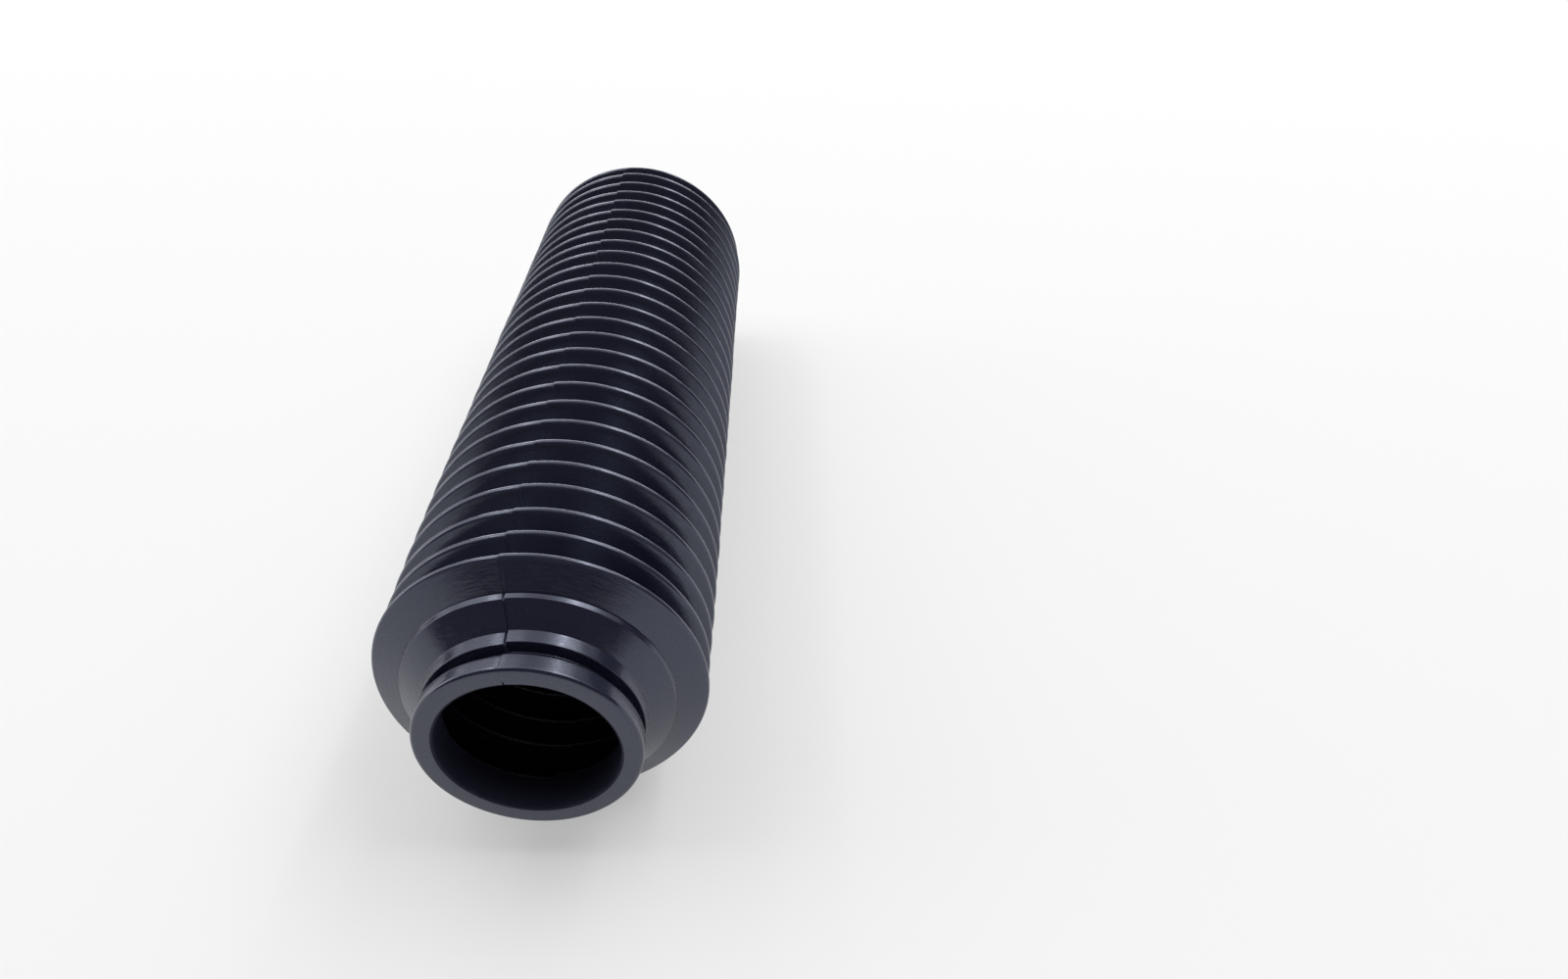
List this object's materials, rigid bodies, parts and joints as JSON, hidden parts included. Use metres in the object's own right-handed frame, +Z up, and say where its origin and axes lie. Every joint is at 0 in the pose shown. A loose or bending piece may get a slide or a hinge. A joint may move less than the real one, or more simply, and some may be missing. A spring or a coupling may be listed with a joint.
{
  "type": "fork gaiter",
  "caption": "Folded black rubber sleeve that covers a motorbike's fork tube, with a smaller and a larger cuff, each grooved for a band, lying on its side.",
  "frame": {"origin": "on the table, under the middle of the sleeve", "axes": "+Y along the sleeve from the smaller cuff to the larger, +Z up from the table it lies on"},
  "size_m": [0.0646, 0.2172, 0.0645],
  "materials": {
    "rubber": "moulded black rubber with a low sheen and a little dust"
  },
  "bodies": {
    "root": {"gaiter": "rubber"}
  },
  "joints": []
}
